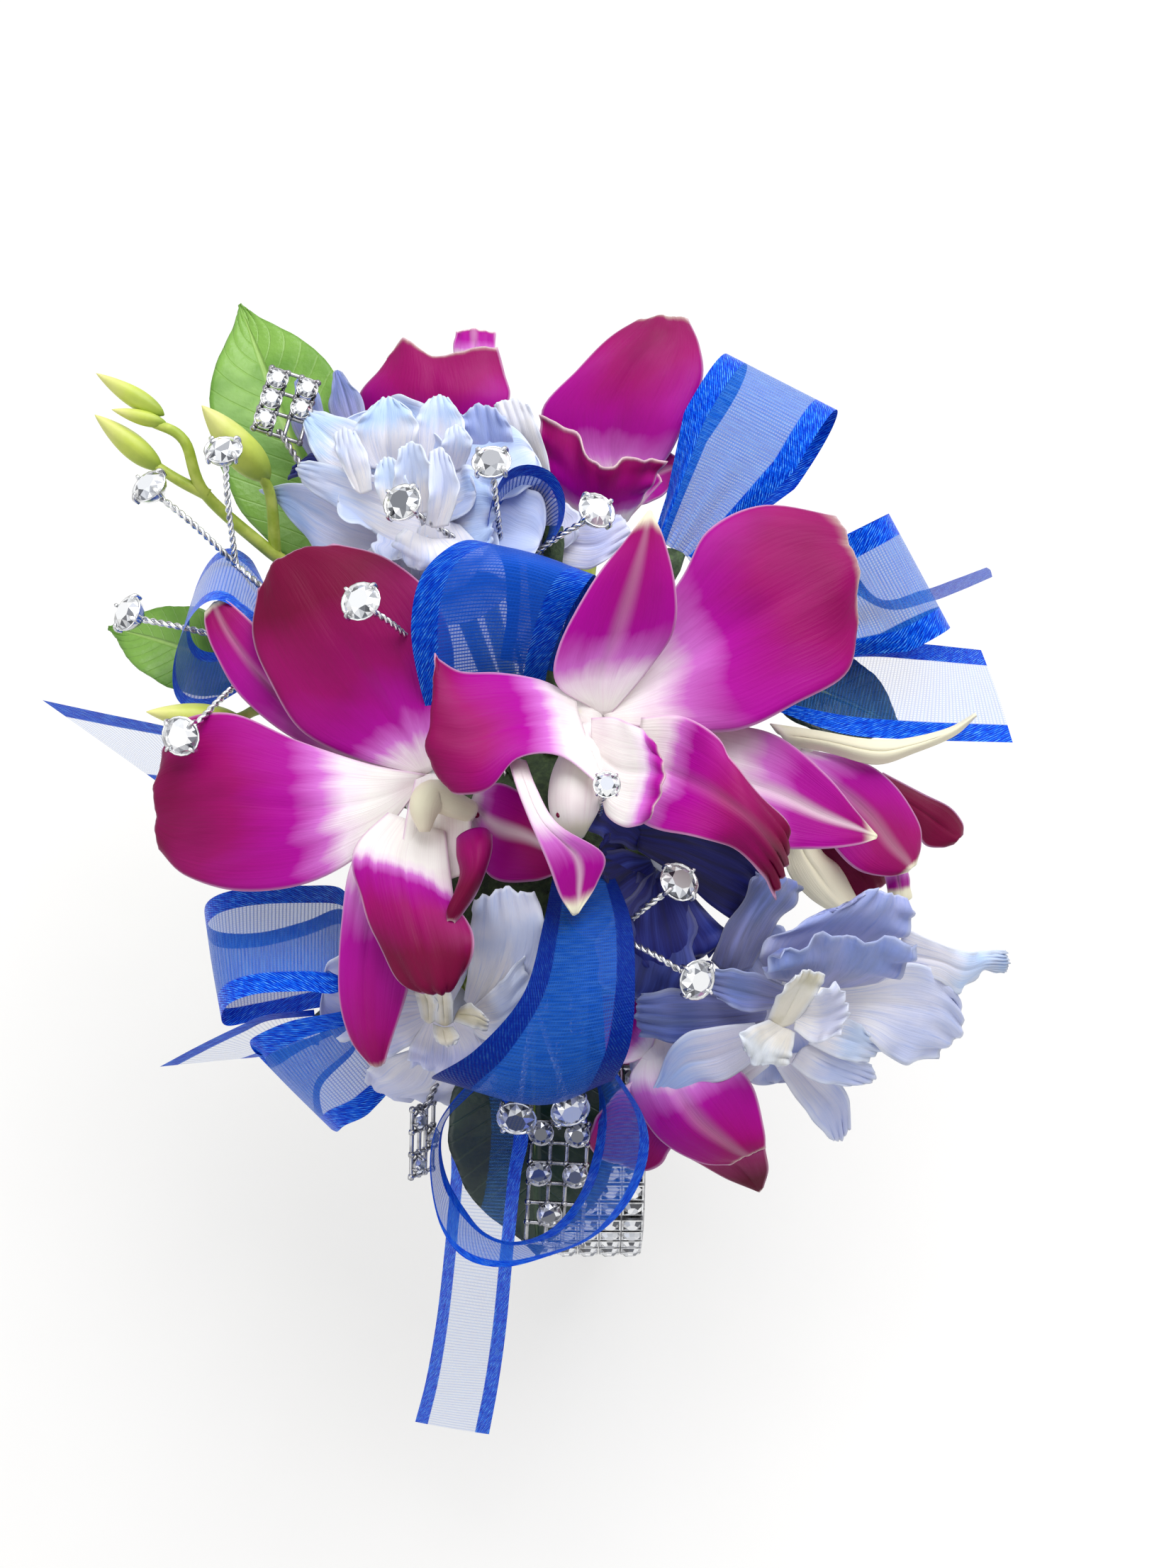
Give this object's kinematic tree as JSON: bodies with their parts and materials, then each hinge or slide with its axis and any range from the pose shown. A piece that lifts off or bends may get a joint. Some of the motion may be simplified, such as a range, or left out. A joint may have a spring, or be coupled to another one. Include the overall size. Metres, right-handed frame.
{
  "type": "wrist corsage",
  "caption": "Wrist corsage: magenta orchids, pale blue delphiniums, a sheer blue ribbon bow and rhinestone sprays on a stretch rhinestone bracelet that expands to pass over the hand.",
  "frame": {"origin": "middle of the bracelet, on the axis of the wrist", "axes": "+X along the wrist, +Z from the wrist out through the flowers, -Y towards the viewer, the side the flower head leans to"},
  "size_m": [0.1287, 0.1405, 0.1011],
  "materials": {
    "petal_magenta": "soft satin, white throat, pale edges",
    "petal_pale_blue": "matt, veined, lavender to pale blue",
    "petal_deep_blue": "matt, veined",
    "organza": "sheer weave between satin edges",
    "leaf_light": "semi-gloss, veined",
    "leaf_dark": "semi-gloss, veined",
    "bud": "satin",
    "wired_stones": "clear faceted stones in polished cups on twisted wire",
    "stone_mesh": "clear faceted stones in polished mesh",
    "floral_tape": "matt crepe tape",
    "silver": "polished, clear faceted stones",
    "elastic": "matt"
  },
  "bodies": {
    "head": {"orchid_centre_tepals": "petal_magenta", "orchid_centre_lip": "petal_magenta", "orchid_left_tepals": "petal_magenta", "orchid_left_lip": "petal_magenta", "orchid_top_tepals": "petal_magenta", "orchid_top_lip": "petal_magenta", "orchid_top_left": "petal_magenta", "orchid_right": "petal_magenta", "orchid_lower_right": "petal_magenta", "delphinium_top_left": "petal_pale_blue", "delphinium_right": "petal_pale_blue", "delphinium_bottom": "petal_pale_blue", "delphinium_top": "petal_pale_blue", "delphinium_centre": "petal_deep_blue", "ribbon_loop_centre": "organza", "ribbon_loop_upper_right": "organza", "ribbon_loop_right": "organza", "ribbon_loop_left": "organza", "ribbon_loop_lower_left": "organza", "ribbon_loop_bottom_left": "organza", "ribbon_loop_front": "organza", "ribbon_loop_bottom": "organza", "ribbon_loop_top": "organza", "ribbon_tail_right": "organza", "ribbon_tail_right_thin": "organza", "ribbon_tail_left": "organza", "ribbon_tail_lower_left": "organza", "ribbon_tail_bottom": "organza", "leaf_top_left": "leaf_light", "leaf_left": "leaf_light", "leaf_bottom": "leaf_dark", "leaf_right": "leaf_dark", "bud_sprig": "bud", "bud_single": "bud", "spray_left": "wired_stones", "spray_far_left": "wired_stones", "spray_top": "wired_stones", "spray_upper_left": "wired_stones", "spray_upper_right": "wired_stones", "spray_centre": "wired_stones", "spray_front": "wired_stones", "spray_bottom": "wired_stones", "accent_top_left": "stone_mesh", "accent_bottom": "stone_mesh", "accent_bottom_left": "stone_mesh", "bound_stems": "floral_tape", "mount_plate": "silver", "elastic_band": "elastic"},
    "link_01": {"bracelet_link_01": "silver"},
    "link_02": {"bracelet_link_02": "silver"},
    "link_03": {"bracelet_link_03": "silver"},
    "link_04": {"bracelet_link_04": "silver"},
    "link_05": {"bracelet_link_05": "silver"},
    "link_06": {"bracelet_link_06": "silver"},
    "link_07": {"bracelet_link_07": "silver"},
    "link_08": {"bracelet_link_08": "silver"},
    "link_09": {"bracelet_link_09": "silver"},
    "link_10": {"bracelet_link_10": "silver"},
    "link_11": {"bracelet_link_11": "silver"}
  },
  "joints": [
    {"name": "bracelet_stretch", "type": "slide", "parent": "head", "child": "link_06", "axis": [0, 0, -1], "range_m": [0, 0.01], "stiffness_N_per_m": 300, "springref_m": -0.005, "deforming": ["elastic_band"]},
    {"name": "link_01_slide", "type": "slide", "parent": "head", "child": "link_01", "axis": [0, -0.9659, -0.2588], "range_m": [0, 0.00259]},
    {"name": "link_02_slide", "type": "slide", "parent": "head", "child": "link_02", "axis": [0, -0.866, -0.5], "range_m": [0, 0.005]},
    {"name": "link_03_slide", "type": "slide", "parent": "head", "child": "link_03", "axis": [0, -0.7071, -0.7071], "range_m": [0, 0.00707]},
    {"name": "link_04_slide", "type": "slide", "parent": "head", "child": "link_04", "axis": [0, -0.5, -0.866], "range_m": [0, 0.00866]},
    {"name": "link_05_slide", "type": "slide", "parent": "head", "child": "link_05", "axis": [0, -0.2588, -0.9659], "range_m": [0, 0.00966]},
    {"name": "link_07_slide", "type": "slide", "parent": "head", "child": "link_07", "axis": [0, 0.2588, -0.9659], "range_m": [0, 0.00966]},
    {"name": "link_08_slide", "type": "slide", "parent": "head", "child": "link_08", "axis": [0, 0.5, -0.866], "range_m": [0, 0.00866]},
    {"name": "link_09_slide", "type": "slide", "parent": "head", "child": "link_09", "axis": [0, 0.7071, -0.7071], "range_m": [0, 0.00707]},
    {"name": "link_10_slide", "type": "slide", "parent": "head", "child": "link_10", "axis": [0, 0.866, -0.5], "range_m": [0, 0.005]},
    {"name": "link_11_slide", "type": "slide", "parent": "head", "child": "link_11", "axis": [0, 0.9659, -0.2588], "range_m": [0, 0.00259]}
  ],
  "couplings": [
    {"joint": "link_01_slide", "follows": "bracelet_stretch", "ratio": 0.25882},
    {"joint": "link_02_slide", "follows": "bracelet_stretch", "ratio": 0.5},
    {"joint": "link_03_slide", "follows": "bracelet_stretch", "ratio": 0.70711},
    {"joint": "link_04_slide", "follows": "bracelet_stretch", "ratio": 0.86603},
    {"joint": "link_05_slide", "follows": "bracelet_stretch", "ratio": 0.96593},
    {"joint": "link_07_slide", "follows": "bracelet_stretch", "ratio": 0.96593},
    {"joint": "link_08_slide", "follows": "bracelet_stretch", "ratio": 0.86603},
    {"joint": "link_09_slide", "follows": "bracelet_stretch", "ratio": 0.70711},
    {"joint": "link_10_slide", "follows": "bracelet_stretch", "ratio": 0.5},
    {"joint": "link_11_slide", "follows": "bracelet_stretch", "ratio": 0.25882}
  ]
}
